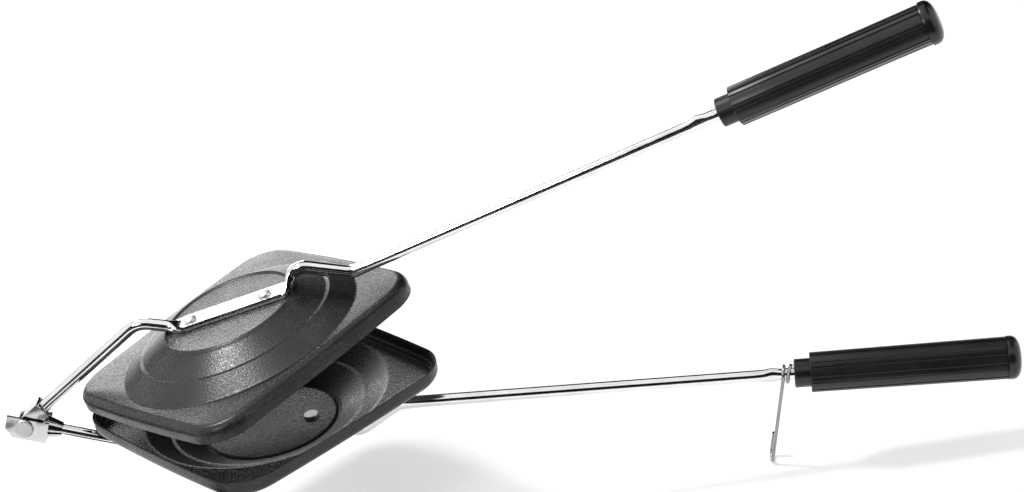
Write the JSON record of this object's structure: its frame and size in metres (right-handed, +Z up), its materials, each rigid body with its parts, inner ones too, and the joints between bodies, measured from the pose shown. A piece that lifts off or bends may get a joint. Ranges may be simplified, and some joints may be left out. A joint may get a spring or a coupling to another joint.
{
  "type": "pie iron",
  "caption": "Square pie iron with domed non-stick sheet-metal pans on hinged bent rods, ribbed hand grips and a swinging wire latch, standing slightly open.",
  "frame": {"origin": "middle of the overall box, at the height of the lowest point, the bend of the hanging latch hook", "axes": "+X from the hinge along the lower arm to its grip, +Y away from the viewer, across the arms, +Z up, from the lower pan to the upper pan"},
  "size_m": [0.4692, 0.1644, 0.2186],
  "materials": {
    "pan_coating": "pebbly black non-stick coating, satin",
    "rod_chrome": "bright plated steel rod",
    "bracket_chrome": "bright plated pressed sheet",
    "latch_wire": "bright plated spring wire",
    "rivet_steel": "plain zinc-plated steel",
    "grip_plastic": "black moulded heat-resistant plastic, satin gloss"
  },
  "bodies": {
    "lower_arm": {"lower_pan": "pan_coating", "lower_rod": "rod_chrome", "lower_front_rivet": "rivet_steel", "lower_rear_rivet": "rivet_steel", "hinge_fork": "bracket_chrome", "hinge_rivet": "rivet_steel", "lower_grip": "grip_plastic", "lower_grip_washer": "rivet_steel", "lower_grip_nut": "rivet_steel", "lower_end_cap": "grip_plastic"},
    "upper_arm": {"upper_pan": "pan_coating", "upper_rod": "rod_chrome", "upper_front_rivet": "rivet_steel", "upper_rear_rivet": "rivet_steel", "hinge_lug": "bracket_chrome", "upper_grip": "grip_plastic", "upper_grip_washer": "rivet_steel", "upper_grip_nut": "rivet_steel", "upper_end_cap": "grip_plastic"},
    "latch": {"wire_latch": "latch_wire"}
  },
  "joints": [
    {"name": "arm_hinge", "type": "hinge", "parent": "lower_arm", "child": "upper_arm", "pos_m": [-0.22593, 0, 0.08087], "axis": [0, -1, 0], "range_deg": [-10.9, 110]},
    {"name": "latch_swing", "type": "hinge", "parent": "lower_arm", "child": "latch", "pos_m": [0.12686, 0, 0.04711], "axis": [0.9966, 0, -0.0828], "continuous": true}
  ]
}
